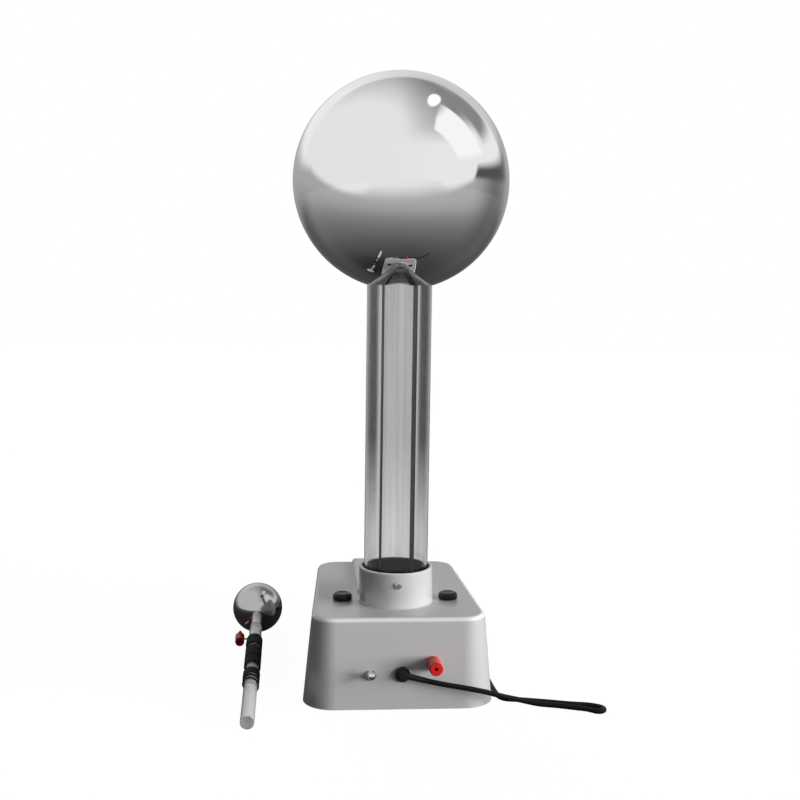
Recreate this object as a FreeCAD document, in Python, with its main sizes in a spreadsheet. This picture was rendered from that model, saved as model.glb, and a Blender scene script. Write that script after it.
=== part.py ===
# Van de Graaff generator with a dome, a clear column, a belt drive in the base
# and a discharge wand lying beside it.
# Frame: millimetres, Z up, front towards -Y, X to the right seen from the front.
# Origin: on the standing surface, under the axis of the column.
import FreeCAD, Part
import math
import os
import Sketcher

Vector = FreeCAD.Vector
doc = FreeCAD.newDocument("VanDeGraaff")
sheet = doc.addObject("Spreadsheet::Sheet", "Sizes")
sheet.Label = "Sizes"
nodes = []
report = []


# ---------------------------------------------------------------- sizes
class Size:
    """A number together with the spreadsheet formula that gives it."""

    def __init__(self, number, formula):
        self.number = float(number)
        self.formula = formula

    def join(self, other, sign, number):
        return Size(number, "(%s %s %s)" % (self.formula, sign, other.formula))

    def __add__(self, other):
        other = as_size(other)
        return self.join(other, "+", self.number + other.number)

    def __sub__(self, other):
        other = as_size(other)
        return self.join(other, "-", self.number - other.number)

    def __mul__(self, other):
        other = as_size(other)
        return self.join(other, "*", self.number * other.number)

    def __truediv__(self, other):
        other = as_size(other)
        return self.join(other, "/", self.number / other.number)

    def __neg__(self):
        return Size(-self.number, "(0 - %s)" % self.formula)

    __radd__ = __add__
    __rmul__ = __mul__

    def __rsub__(self, other):
        return as_size(other) - self


def as_size(value):
    if isinstance(value, Size):
        return value
    if value < 0:
        return Size(value, "(0 - %.9g)" % -value)
    return Size(value, "%.9g" % value)


def root(value):
    return Size(math.sqrt(value.number), "sqrt(%s)" % value.formula)


def sine(angle):
    return Size(math.sin(math.radians(angle.number)), "sin(%s)" % angle.formula)


def cosine(angle):
    return Size(math.cos(math.radians(angle.number)), "cos(%s)" % angle.formula)


def tangent(angle):
    return Size(math.tan(math.radians(angle.number)), "tan(%s)" % angle.formula)


def arc_sine(value):
    return Size(math.degrees(math.asin(value.number)), "(asin(%s) / 1 deg)" % value.formula)


def arc_tangent(value):
    return Size(math.degrees(math.atan(value.number)), "(atan(%s) / 1 deg)" % value.formula)


def size(alias, number, note):
    """Write one driving dimension into the sheet."""
    size.row += 1
    sheet.set("A%d" % size.row, alias)
    sheet.set("B%d" % size.row, "%.9g" % number)
    sheet.set("C%d" % size.row, note)
    sheet.setAlias("B%d" % size.row, alias)
    return Size(number, "Sizes." + alias)


size.row = 1
sheet.set("A1", "name")
sheet.set("B1", "size in mm or degrees")
sheet.set("C1", "what it is")

dome_radius = size("dome_radius", 125, "outer radius of the dome")
dome_wall = size("dome_wall", 1.2, "spun metal of the dome")
dome_rise = size("dome_rise", 64, "centre of the dome above the upper end of the tube")
tube_radius = size("tube_radius", 38, "outer radius of the column tube")
tube_wall = size("tube_wall", 3, "wall of the column tube")
base_height = size("base_height", 105, "top of the housing above the standing surface")
front_reach = size("front_reach", 89, "foot of the housing in front of the column axis")
back_reach = size("back_reach", 199, "foot of the housing behind the column axis")
front_half = size("front_half", 112, "half width of the housing foot at the front")
back_half = size("back_half", 98.5, "half width of the housing foot at the back")
corner_radius = size("corner_radius", 36, "upright corners of the housing at the foot")
wall_tilt = size("wall_tilt", 5.44, "lean of the housing walls in degrees")
edge_radius = size("edge_radius", 6, "round along the top edge of the housing")
shell_wall = size("shell_wall", 3, "wall of the housing")
shell_lift = size("shell_lift", 1.2, "rim of the housing above the standing surface")
pad_height = size("pad_height", 2.5, "rubber pad under the base plate")
plate_sheet = size("plate_sheet", 1.5, "sheet of the base plate")
boss_radius = size("boss_radius", 5, "screw pillars of the housing")
collar_height = size("collar_height", 42, "height of the column collar")
collar_wall = size("collar_wall", 3.3, "wall of the column collar")
collar_bead = size("collar_bead", 1.6, "height of the bead at the foot of the collar")
ledge_height = size("ledge_height", 6, "ledge in the collar that carries the tube")
bush_wall = size("bush_wall", 2.5, "rubber bush between collar and tube")
spine_half = size("spine_half", 44, "half width of the raised spine on the housing")
spine_height = size("spine_height", 5.7, "height of the raised spine")
knob_reach = size("knob_reach", 19.7, "thumb nuts from the side of the collar to their axes")
knob_radius = size("knob_radius", 11.5, "radius of the thumb nuts")
knob_height = size("knob_height", 8, "height of the thumb nuts")
stud_radius = size("stud_radius", 3, "M6 thread under the thumb nuts")
bracket_sheet = size("bracket_sheet", 2.5, "sheet of the drive bracket")
bracket_rim = size("bracket_rim", 9.5, "drive bracket beyond the axes of the thumb nuts")
upright_half = size("upright_half", 32, "half width of the bracket uprights")
upright_place = size("upright_place", 36, "inner face of the bracket uprights")
upright_foot = size("upright_foot", 16, "lower end of the bracket uprights")
low_axis = size("low_axis", 50, "height of the lower roller axis")
axis_rise = size("axis_rise", 36, "upper roller axis above the upper end of the tube")
tube_top = size("tube_top", 536, "upper end of the column tube")
roller_share = size("roller_share", 0.514, "roller radius as a share of the tube bore radius")
belt_share = size("belt_share", 0.543, "belt width as a share of the tube bore")
belt_sheet = size("belt_sheet", 1.2, "thickness of the rubber belt")
shaft_radius = size("shaft_radius", 4, "radius of the motor shaft")
axle_radius = size("axle_radius", 3, "radius of the upper axle")
motor_radius = size("motor_radius", 26, "radius of the motor can")
motor_length = size("motor_length", 85, "length of the motor can")
rail_side = size("rail_side", 8, "side of the comb rails")
comb_sheet = size("comb_sheet", 0.8, "sheet of the combs")
comb_gap = size("comb_gap", 2.9, "comb tips to the belt")
cheek_place = size("cheek_place", 25, "inner face of the yoke cheeks")
cheek_sheet = size("cheek_sheet", 4, "thickness of the yoke cheeks")
cheek_half = size("cheek_half", 16, "half width of the yoke cheeks")
switch_across = size("switch_across", -33.3, "toggle switch, sideways")
switch_height = size("switch_height", 40.5, "toggle switch, height on the front")
relief_across = size("relief_across", 2.7, "cord exit, sideways")
relief_height = size("relief_height", 41.4, "cord exit, height on the front")
post_across = size("post_across", 38, "earth post, sideways")
post_height = size("post_height", 53.7, "earth post, height on the front")
bushing_radius = size("bushing_radius", 4, "threaded bushing of the switch")
lever_tilt = size("lever_tilt", 12, "lever away from the middle in degrees")
post_radius = size("post_radius", 8, "radius of the earth post")
post_reach = size("post_reach", 32, "earth post out of the front face")
socket_radius = size("socket_radius", 2, "standard 4 mm socket and pin")
cord_radius = size("cord_radius", 3, "radius of the mains cord")
lead_radius = size("lead_radius", 1, "radius of the wand lead")
wand_ball_radius = size("wand_ball_radius", 33.5, "radius of the wand ball")
wand_rod_radius = size("wand_rod_radius", 8, "radius of the wand rod")
stem_radius = size("stem_radius", 6.5, "radius of the stem between the wand ball and rod")
stem_length = size("stem_length", 41.5, "bare length of that stem")
wand_length = size("wand_length", 358, "ball centre to the end of the rod")
wand_across = size("wand_across", -172, "wand ball, sideways")
wand_back = size("wand_back", 217.5, "wand ball, behind the column axis")
wand_turn = size("wand_turn", 0.21, "turn of the wand from the front direction in degrees")
plug_radius = size("plug_radius", 17, "radius of the mains plug")
thread_radius = size("thread_radius", 1.5, "M3 screws")
play = size("play", 0.05, "running play on the radius")
gap = size("gap", 0.3, "gap between neighbours that move past each other")
doc.recompute()

dome_height = tube_top + dome_rise
top_axis = tube_top + axis_rise
tube_bore = tube_radius - tube_wall
roller_radius = tube_bore * roller_share
belt_half = tube_bore * belt_share
roller_half = belt_half + 1
inner_top = base_height - shell_wall
plate_top = pad_height + plate_sheet
bracket_foot = inner_top - bracket_sheet
collar_inner = tube_radius + bush_wall
collar_outer = collar_inner + collar_wall
knob_place = collar_outer + knob_reach
bracket_half = knob_place + bracket_rim
collar_top = base_height + collar_height
tube_foot = base_height + ledge_height
column_hole = tube_bore - 1
clamp_height = collar_top - 14
mouth_radius = tube_radius + 1.2
mouth_height = dome_height - root(dome_radius * dome_radius - mouth_radius * mouth_radius)
flange_top = tube_top + 5
cheek_top = top_axis + 34
front_foot = front_reach + shell_lift * tangent(wall_tilt)
upright_outer = upright_place + bracket_sheet
motor_screw = motor_radius - 8
knob_lift = base_height + gap
pillar_spots = [(76, -53), (-76, -53), (62.5, 163), (-62.5, 163)]
ledge_screw = column_hole - 1.7
ledge_side = column_hole - 15.4
top_screw_spots = [(right * ledge_screw, back * ledge_side) for right in (1, -1) for back in (1, -1)]
top_screw_spots += [(0, 80), (0, 165)]


# ---------------------------------------------------------------- building
def bind(thing, what, value):
    thing.setExpression(what, as_size(value).formula)


def place(thing, x=0, y=0, z=0, yaw=0, pitch=0, roll=0):
    """Bind the whole placement of an object to the sheet."""
    words = tuple(as_size(value).formula for value in (x, y, z, yaw, pitch, roll))
    text = "create(<<placement>>; create(<<vector>>; %s; %s; %s); create(<<rotation>>; %s; %s; %s))"
    thing.setExpression("Placement", text % words)


def new_body(name):
    body = doc.addObject("PartDesign::Body", name)
    body.Label = name
    nodes.append(body)
    return body


def new_shape(kind, name, node=False):
    thing = doc.addObject(kind, name)
    if node:
        thing.Label = name
        nodes.append(thing)
    return thing


def sketch_on(body, role, height=0):
    """An empty sketch on a plane of the body's own origin, lifted by height."""
    sketch = body.newObject("Sketcher::SketchObject", body.Name + "_lines")
    plane = [item for item in body.Origin.OriginFeatures if item.Role == role][0]
    sketch.AttachmentSupport = [(plane, "")]
    sketch.MapMode = "FlatFace"
    bind(sketch, "AttachmentOffset.Base.z", height)
    return sketch


def hold(sketch, kind, edge, end, value):
    """One dimension from the sketch origin to a point, bound to the sheet."""
    value = as_size(value)
    number = sketch.addConstraint(Sketcher.Constraint(kind, -1, 1, edge, end, value.number))
    sketch.setExpression("Constraints[%d]" % number, value.formula)


def outline(sketch, corners):
    """A closed outline of straight lines with every corner dimensioned."""
    first = sketch.GeometryCount
    count = len(corners)
    corners = [(as_size(x), as_size(y)) for x, y in corners]
    points = [Vector(x.number, y.number, 0) for x, y in corners]
    for i in range(count):
        sketch.addGeometry(Part.LineSegment(points[i], points[(i + 1) % count]), False)
    for i in range(count):
        ends = (first + i, 2, first + (i + 1) % count, 1)
        sketch.addConstraint(Sketcher.Constraint("Coincident", *ends))
    for i, (x, y) in enumerate(corners):
        hold(sketch, "DistanceX", first + i, 1, x)
        hold(sketch, "DistanceY", first + i, 1, y)
    return first


def box_outline(sketch, left, right, low, high):
    return outline(sketch, [(left, low), (right, low), (right, high), (left, high)])


def circles(sketch, spots, radius):
    """Circles of one radius at the given spots."""
    radius = as_size(radius)
    for x, y in spots:
        x, y = as_size(x), as_size(y)
        centre = Vector(x.number, y.number, 0)
        edge = sketch.addGeometry(Part.Circle(centre, Vector(0, 0, 1), radius.number), False)
        hold(sketch, "DistanceX", edge, 3, x)
        hold(sketch, "DistanceY", edge, 3, y)
        number = sketch.addConstraint(Sketcher.Constraint("Radius", edge, radius.number))
        sketch.setExpression("Constraints[%d]" % number, radius.formula)


def hexagon(sketch, across):
    """A hexagon round the origin; across is the distance over the flats."""
    reach = across / root(as_size(3))
    corners = []
    for i in range(6):
        angle = math.radians(60 * i)
        corners.append((reach * round(math.cos(angle), 9), reach * round(math.sin(angle), 9)))
    outline(sketch, corners)


def pad(body, sketch, length):
    feature = body.newObject("PartDesign::Pad", body.Name + "_pad")
    feature.Profile = sketch
    bind(feature, "Length", length)
    sketch.Visibility = False
    doc.recompute()
    return feature


def pocket(body, sketch, length, upwards=False):
    """A pocket that has to take material away."""
    doc.recompute()
    before = body.Shape.Volume
    feature = body.newObject("PartDesign::Pocket", body.Name + "_pocket")
    feature.Profile = sketch
    feature.Reversed = upwards
    bind(feature, "Length", length)
    sketch.Visibility = False
    doc.recompute()
    if body.Shape.Volume > before - 0.01:
        raise ValueError("pocket in %s takes nothing away" % body.Label)
    return feature


def round_edges(body, radius, wanted):
    """Fillet those edges of the body for which wanted(edge) holds."""
    doc.recompute()
    tip = body.Tip
    names = ["Edge%d" % (i + 1) for i, edge in enumerate(tip.Shape.Edges) if wanted(edge)]
    feature = body.newObject("PartDesign::Fillet", body.Name + "_round")
    feature.Base = (tip, names)
    bind(feature, "Radius", radius)
    doc.recompute()
    return feature


def three_fold(body, feature):
    """Repeat a feature three times round the body's own Z axis."""
    pattern = body.newObject("PartDesign::PolarPattern", body.Name + "_pattern")
    pattern.Originals = [feature]
    axis = [item for item in body.Origin.OriginFeatures if item.Role == "Z_Axis"][0]
    pattern.Axis = (axis, [""])
    pattern.Angle = 360
    pattern.Occurrences = 3
    body.Tip = pattern
    doc.recompute()


def turn(body, corners):
    """A turned shape: corners are (radius, height) in the body's own frame."""
    sketch = sketch_on(body, "XZ_Plane")
    outline(sketch, corners)
    feature = body.newObject("PartDesign::Revolution", body.Name + "_turned")
    feature.Profile = (sketch, [""])
    feature.ReferenceAxis = (sketch, ["V_Axis"])
    feature.Angle = 360
    sketch.Visibility = False
    doc.recompute()
    return feature


def turned(name, corners, **where):
    body = new_body(name)
    turn(body, corners)
    place(body, **where)
    return body


def cylinder(name, radius, height, **where):
    thing = new_shape("Part::Cylinder", name)
    bind(thing, "Radius", radius)
    bind(thing, "Height", height)
    place(thing, **where)
    return thing


def cone(name, foot, top, height, **where):
    thing = new_shape("Part::Cone", name)
    bind(thing, "Radius1", foot)
    bind(thing, "Radius2", top)
    bind(thing, "Height", height)
    place(thing, **where)
    return thing


def ball(name, radius, **where):
    thing = new_shape("Part::Sphere", name)
    bind(thing, "Radius", radius)
    place(thing, **where)
    return thing


def box(name, wide, deep, high, **where):
    thing = new_shape("Part::Box", name)
    bind(thing, "Length", wide)
    bind(thing, "Width", deep)
    bind(thing, "Height", high)
    place(thing, **where)
    return thing


def fused(name, things, node=False):
    whole = new_shape("Part::MultiFuse", name, node)
    whole.Shapes = things
    doc.recompute()
    return whole


def cut(name, base, tool, node=False):
    rest = new_shape("Part::Cut", name, node)
    rest.Base = base
    rest.Tool = tool
    doc.recompute()
    return rest


def screws(name, spots, thread, length, head, head_height):
    """Cap screws: each spot is x, y, z, yaw, pitch, roll of the face under the
    head; the head stands up along the own Z axis and the thread points down."""
    things = []
    for i, spot in enumerate(spots):
        frame = dict(zip(("x", "y", "z", "yaw", "pitch", "roll"), spot))
        arm = new_body_quietly("%s_%d" % (name, i + 1))
        turn(arm, [(0, -length), (thread - 0.3, -length), (thread, 0.3 - length), (thread, 0),
                   (head, 0), (head, head_height * 0.6), (head * 0.65, head_height),
                   (0, head_height)])
        place(arm, **frame)
        things.append(arm)
    return fused(name, things, True)


def new_body_quietly(name):
    body = doc.addObject("PartDesign::Body", name)
    body.Label = name
    return body


def cord_path(points):
    """Straight runs joined by tangent arcs; gives the edges and the radii."""
    points = [Vector(*point) for point in points]
    edges = []
    radii = []
    start = points[0]
    for before, corner, after in zip(points, points[1:], points[2:]):
        into = corner - before
        out = after - corner
        turn_angle = into.getAngle(out)
        reach = 0.45 * min(into.Length, out.Length)
        radii.append(reach / math.tan(turn_angle / 2))
        into.normalize()
        out.normalize()
        first = corner - into * reach
        last = corner + out * reach
        middle = corner + (out - into).normalize() * (
            radii[-1] / math.cos(turn_angle / 2) - radii[-1])
        edges.append(Part.LineSegment(start, first).toShape())
        edges.append(Part.Arc(first, middle, last).toShape())
        start = last
    edges.append(Part.LineSegment(start, points[-1]).toShape())
    return edges, radii


def cord(name, points, radius):
    """A cord of round section along a route."""
    edges, radii = cord_path(points)
    wire = Part.Wire(edges)
    heading = Vector(*points[1]) - Vector(*points[0])
    ring = Part.Wire([Part.Circle(Vector(*points[0]), heading, radius).toShape()])
    tube = wire.makePipeShell([ring], True, True)
    due = math.pi * radius ** 2 * wire.Length
    if abs(tube.Volume / due - 1) > 0.02:
        raise ValueError("%s: volume %.1f, due %.1f" % (name, tube.Volume, due))
    thing = new_shape("Part::Feature", name, True)
    thing.Shape = tube
    report.append("%s: length %.1f, diameter %.2f, smallest radius %.1f, radii %s" % (
        name, wire.Length, 2 * radius, min(radii), " ".join("%.0f" % r for r in radii)))
    return wire.Length


# ---------------------------------------------------------------- housing
def rounded_foot(body, inset, radius, height):
    """The four-cornered outline of the housing foot, inset, with round corners."""
    sketch = sketch_on(body, "XY_Plane", height)
    inset = as_size(inset)
    first = outline(sketch, [(inset - front_half, inset - front_reach),
                             (front_half - inset, inset - front_reach),
                             (back_half - inset, back_reach - inset),
                             (inset - back_half, back_reach - inset)])
    for i in range(4):
        sketch.fillet(first + i, 1, radius.number, True, True)
    for i, shape in enumerate(sketch.Geometry):
        if shape.TypeId == "Part::GeomArcOfCircle":
            number = sketch.addConstraint(Sketcher.Constraint("Radius", i, radius.number))
            sketch.setExpression("Constraints[%d]" % number, radius.formula)
    doc.recompute()
    return sketch


shell = new_body("housing_shell")
bind(pad(shell, rounded_foot(shell, 0, corner_radius, shell_lift), base_height - shell_lift),
     "TaperAngle", -wall_tilt)
round_edges(shell, edge_radius, lambda edge: edge.BoundBox.ZMin > base_height.number - 0.01)
cavity = rounded_foot(shell, shell_wall, corner_radius - shell_wall, shell_lift)
bind(pocket(shell, cavity, inner_top - shell_lift, True), "TaperAngle", -wall_tilt)
lines = sketch_on(shell, "XY_Plane", plate_top)
circles(lines, pillar_spots, boss_radius)
pad(shell, lines, inner_top - plate_top + shell_wall / 2)
lines = sketch_on(shell, "XY_Plane", plate_top)
circles(lines, pillar_spots, thread_radius + play)
pocket(shell, lines, 14, True)
lines = sketch_on(shell, "XY_Plane", base_height)
circles(lines, [(0, 0)], column_hole)
circles(lines, [(knob_place, 0), (-knob_place, 0)], stud_radius + 2 * play)
circles(lines, top_screw_spots, thread_radius + 3 * play)
pocket(shell, lines, 2 * shell_wall)
lines = shell.newObject("Sketcher::SketchObject", "front_holes")
plane = [item for item in shell.Origin.OriginFeatures if item.Role == "XZ_Plane"][0]
lines.AttachmentSupport = [(plane, "")]
lines.MapMode = "FlatFace"
lean = as_size(wall_tilt)
lines.setExpression("AttachmentOffset", (
    "create(<<placement>>; create(<<vector>>; 0; 0; %s); create(<<rotation>>; 0; 0; %s))"
    % (front_foot.formula, (-lean).formula)))
circles(lines, [(switch_across, switch_height / cosine(wall_tilt))], bushing_radius + 2 * play)
circles(lines, [(relief_across, relief_height / cosine(wall_tilt))], 5 + 2 * play)
circles(lines, [(post_across, post_height / cosine(wall_tilt))], stud_radius + 2 * play)
pocket(shell, lines, 2 * shell_wall)

base_inset = shell_wall + 1.5
plate = new_body("base_plate")
pad(plate, rounded_foot(plate, base_inset, corner_radius - base_inset, 0), plate_sheet)
lines = sketch_on(plate, "XY_Plane")
circles(lines, pillar_spots, thread_radius + 4 * play)
pocket(plate, lines, plate_sheet, True)
place(plate, z=pad_height)

foot_pad = new_body("foot_pad")
pad_inset = base_inset + 11.5
pad(foot_pad, rounded_foot(foot_pad, pad_inset, corner_radius - pad_inset, 0), pad_height)
lines = sketch_on(foot_pad, "XY_Plane")
circles(lines, pillar_spots, 6)
pocket(foot_pad, lines, pad_height, True)
place(foot_pad)

screws("base_screws", [(x, y, pad_height, 0, 0, 180) for x, y in pillar_spots],
       thread_radius, 13, 2.9, 1.8)

spine = new_body("top_spine")
lines = sketch_on(spine, "XY_Plane")
spine_end = back_reach - 14
box_outline(lines, -spine_half, spine_half, 30, spine_end)
pad(spine, lines, spine_height)
round_edges(spine, edge_radius - 0.6,
            lambda edge: edge.BoundBox.ZMin > spine_height.number - 0.01
            and edge.BoundBox.YMax > 31)
lines = sketch_on(spine, "XY_Plane")
circles(lines, [(0, 0)], collar_outer + 3)
pocket(spine, lines, spine_height, True)
lines = sketch_on(spine, "XY_Plane")
circles(lines, top_screw_spots[4:], thread_radius + play)
pocket(spine, lines, spine_height - 0.9, True)
place(spine, z=base_height)

screws("top_screws", [(x, y, inner_top, 0, 0, 180) for x, y in top_screw_spots],
       thread_radius, shell_wall + 4.4, 2.75, 2.2)

# ---------------------------------------------------------------- drive bracket
bracket = new_body("chassis_bracket")
lines = sketch_on(bracket, "XY_Plane", bracket_foot)
box_outline(lines, -bracket_half, bracket_half, -upright_outer, upright_outer)
pad(bracket, lines, bracket_sheet)
lines = sketch_on(bracket, "XY_Plane", upright_foot)
for side in (-1, 1):
    box_outline(lines, -upright_half, upright_half,
                *sorted((side * upright_place, side * upright_outer), key=lambda v: v.number))
pad(bracket, lines, bracket_foot - upright_foot + bracket_sheet / 2)
lines = sketch_on(bracket, "XY_Plane", inner_top)
circles(lines, [(0, 0)], column_hole)
circles(lines, [(knob_place, 0), (-knob_place, 0)], stud_radius + 2 * play)
circles(lines, [spot for spot in top_screw_spots[:4]], 3.6)
pocket(bracket, lines, bracket_sheet)
lines = sketch_on(bracket, "XZ_Plane", upright_outer + 1)
circles(lines, [(0, low_axis)], shaft_radius + 3 + play)
circles(lines, [(-motor_screw, low_axis), (motor_screw, low_axis)], thread_radius + 4 * play)
circles(lines, [(0, upright_foot + rail_side / 2)], thread_radius + 4 * play)
pocket(bracket, lines, 2 * upright_outer + 2)

screws("clamp_studs", [(side * knob_place, 0, bracket_foot, 0, 0, 180) for side in (-1, 1)],
       stud_radius, knob_lift + 5.2 - bracket_foot, 5, 4)
for side, name in ((-1, "left_thumb_nut"), (1, "right_thumb_nut")):
    turned(name, [(stud_radius + play, 0), (knob_radius - 1, 0), (knob_radius, 1),
                  (knob_radius, knob_height - 3), (knob_radius - 0.9, knob_height - 1.1),
                  (knob_radius - 3, knob_height), (knob_radius - 5, knob_height - 0.6),
                  (0, knob_height - 1.2), (0, knob_height - 2.4),
                  (stud_radius + play, knob_height - 2.4)],
           x=side * knob_place, z=knob_lift)

# ---------------------------------------------------------------- column
collar = new_body("column_collar")
turn(collar, [(collar_inner, ledge_height), (collar_inner, collar_height),
              (collar_outer - 0.2, collar_height), (collar_outer + 0.3, collar_bead),
              (collar_outer + 1.45, collar_bead), (collar_outer + 1.45, 0),
              (column_hole, 0), (column_hole, ledge_height)])
round_edges(collar, 1.6, lambda edge: edge.BoundBox.ZMin > collar_height.number - 0.01
            and edge.BoundBox.XMax > collar_outer.number - 1)
lines = sketch_on(collar, "XZ_Plane", tube_radius)
circles(lines, [(0, clamp_height - base_height)], thread_radius + 0.5 + play)
three_fold(collar, pocket(collar, lines, 10, True))
lines = sketch_on(collar, "XY_Plane")
circles(lines, top_screw_spots[:4], thread_radius + play)
pocket(collar, lines, 4.8, True)
place(collar, z=base_height)

sleeve = new_body("tube_bush")
turn(sleeve, [(tube_radius + 2 * play, 0), (collar_inner - play, 0),
              (collar_inner - play, collar_top - tube_foot - 1),
              (tube_radius + 2 * play, collar_top - tube_foot - 1)])
lines = sketch_on(sleeve, "XZ_Plane", tube_radius - 1)
circles(lines, [(0, clamp_height - tube_foot)], thread_radius + 0.5 + 2 * play)
three_fold(sleeve, pocket(sleeve, lines, 10, True))
place(sleeve, z=tube_foot)

clamp_spots = []
clamp_out = collar_outer + 2 * play
for angle in (0, 120, 240):
    bearing = math.radians(angle - 90)
    clamp_spots.append((clamp_out * math.cos(bearing), clamp_out * math.sin(bearing),
                        clamp_height, angle, 0, 90))
screws("collar_screws", clamp_spots, thread_radius + 0.5, collar_outer - tube_radius - 0.5, 4, 2.4)

turned("column_tube", [(tube_bore, 0), (tube_radius, 0), (tube_radius, tube_top - tube_foot),
                       (tube_bore, tube_top - tube_foot)], z=tube_foot)


def race_track(name, radius, half):
    """Two round ends on the roller axes joined by a slab."""
    ends = [cylinder("%s_end_%d" % (name, i), radius, 2 * half, y=half, z=height, roll=90)
            for i, height in enumerate((low_axis, top_axis))]
    slab = box(name + "_slab", 2 * radius, 2 * half, top_axis - low_axis,
               x=-radius, y=-half, z=low_axis)
    return fused(name, ends + [slab])


belt_inside = roller_radius + gap
cut("drive_belt", race_track("belt_outside", belt_inside + belt_sheet, belt_half),
    race_track("belt_inside", belt_inside, belt_half + 1), True)

# ---------------------------------------------------------------- drive
motor = new_body("motor_body")
turn(motor, [(shaft_radius + play, 0), (motor_radius - 2, 0), (motor_radius, 2),
             (motor_radius, motor_length - 2), (motor_radius - 2, motor_length),
             (0, motor_length), (0, 14.5), (shaft_radius + play, 14.5)])
lines = sketch_on(motor, "XY_Plane")
circles(lines, [(-motor_screw, 0), (motor_screw, 0)], thread_radius + play)
pocket(motor, lines, 7, True)
place(motor, y=upright_outer, z=low_axis, roll=-90)
screws("motor_screws", [(x, upright_place, low_axis, 0, 0, 90) for x in (-motor_screw, motor_screw)],
       thread_radius, bracket_sheet + 6, 2.75, 2.2)
turned("front_bearing", [(shaft_radius + play, 0), (shaft_radius + 3, 0),
                         (shaft_radius + 3, bracket_sheet + 1),
                         (shaft_radius + 5, bracket_sheet + 1),
                         (shaft_radius + 5, bracket_sheet + 2.5),
                         (shaft_radius + play, bracket_sheet + 2.5)],
       y=-upright_outer - 1, z=low_axis, roll=-90)
turned("motor_shaft", [(0, 0), (shaft_radius - 0.5, 0), (shaft_radius, 0.5),
                       (shaft_radius, 2 * upright_outer + 14.5),
                       (shaft_radius - 0.5, 2 * upright_outer + 15),
                       (0, 2 * upright_outer + 15)],
       y=-upright_outer - 2, z=low_axis, roll=-90)


def roller(name, bore, height):
    """A slightly crowned roller across the machine."""
    crown = 0.4
    turned(name, [(bore, -roller_half), (roller_radius - crown, -roller_half),
                  (roller_radius, -0.35 * roller_half), (roller_radius, 0.35 * roller_half),
                  (roller_radius - crown, roller_half), (bore, roller_half)],
           z=height, roll=-90)


roller("lower_roller", shaft_radius + 0.02, low_axis)

comb_half = 2 + 0.8 * belt_half
comb_screw_place = 0.65 * comb_half


def rail(name, left, wide, foot, high, half, spots):
    """A bar between two side plates with threaded ends and comb screw holes."""
    body = new_body(name)
    lines = sketch_on(body, "XY_Plane")
    box_outline(lines, 0, wide, -half, half)
    pad(body, lines, high)
    lines = sketch_on(body, "XZ_Plane", half)
    circles(lines, [(spots[0], high / 2)], thread_radius + play)
    pocket(body, lines, 9)
    lines = sketch_on(body, "XZ_Plane", -half)
    circles(lines, [(spots[0], high / 2)], thread_radius + play)
    pocket(body, lines, 9, True)
    lines = sketch_on(body, "XY_Plane", high)
    circles(lines, [(spots[1], comb_screw_place), (spots[1], -comb_screw_place)],
            thread_radius + play)
    pocket(body, lines, 5)
    place(body, x=left, z=foot)


def comb(name, wide, reach, hole, **where):
    """A sheet flange with a row of pointed teeth along one edge."""
    teeth = 10
    body = new_body(name)
    lines = sketch_on(body, "XY_Plane")
    box_outline(lines, 0, wide, -comb_half, comb_half)
    pad(body, lines, comb_sheet)
    lines = sketch_on(body, "YZ_Plane")
    corners = [(comb_half, 0)]
    pitch = comb_half * 2 / teeth
    for i in range(teeth):
        corners.append((comb_half - pitch * i, reach - 2.4))
        corners.append((comb_half - pitch * (i + 0.5), reach))
    corners.append((-comb_half, reach - 2.4))
    corners.append((-comb_half, 0))
    outline(lines, corners)
    pad(body, lines, comb_sheet)
    lines = sketch_on(body, "XY_Plane")
    circles(lines, [(hole, comb_screw_place), (hole, -comb_screw_place)],
            thread_radius + 3 * play)
    pocket(body, lines, comb_sheet, True)
    place(body, **where)


rail_top = upright_foot + rail_side
rail("comb_rail", -rail_side / 2, rail_side, upright_foot, rail_side, upright_place,
     (rail_side / 2, rail_side / 2))
belt_bottom = low_axis - belt_inside - belt_sheet
comb("lower_comb", rail_side + 1, belt_bottom - comb_gap - rail_top, rail_side / 2 + 1,
     x=-rail_side / 2 - 1, z=rail_top)

# ---------------------------------------------------------------- head
yoke = new_body("upper_yoke")
window_half = roller_radius + 3
spigot = 12
turn(yoke, [(0, flange_top), (0, tube_top), (tube_bore - 4, tube_top),
            (tube_bore - 4, tube_top - spigot), (tube_bore - 2 * play, tube_top - spigot),
            (tube_bore - 2 * play, tube_top), (tube_radius, tube_top),
            (tube_radius, flange_top)])
lines = sketch_on(yoke, "XY_Plane", flange_top)
for side in (-1, 1):
    box_outline(lines, -cheek_half, cheek_half, *sorted(
        (side * cheek_place, side * (cheek_place + cheek_sheet)), key=lambda v: v.number))
pad(yoke, lines, cheek_top - flange_top)
lines = sketch_on(yoke, "XY_Plane", flange_top)
box_outline(lines, -window_half, window_half, 1 - cheek_place, cheek_place - 1)
pocket(yoke, lines, flange_top - tube_top)
lines = sketch_on(yoke, "XZ_Plane", cheek_place + cheek_sheet + 1)
circles(lines, [(0, top_axis)], axle_radius + 1.5 + play)
circles(lines, [(4, cheek_top - rail_side / 2)], thread_radius + 4 * play)
pocket(yoke, lines, 2 * (cheek_place + cheek_sheet + 1))

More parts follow.
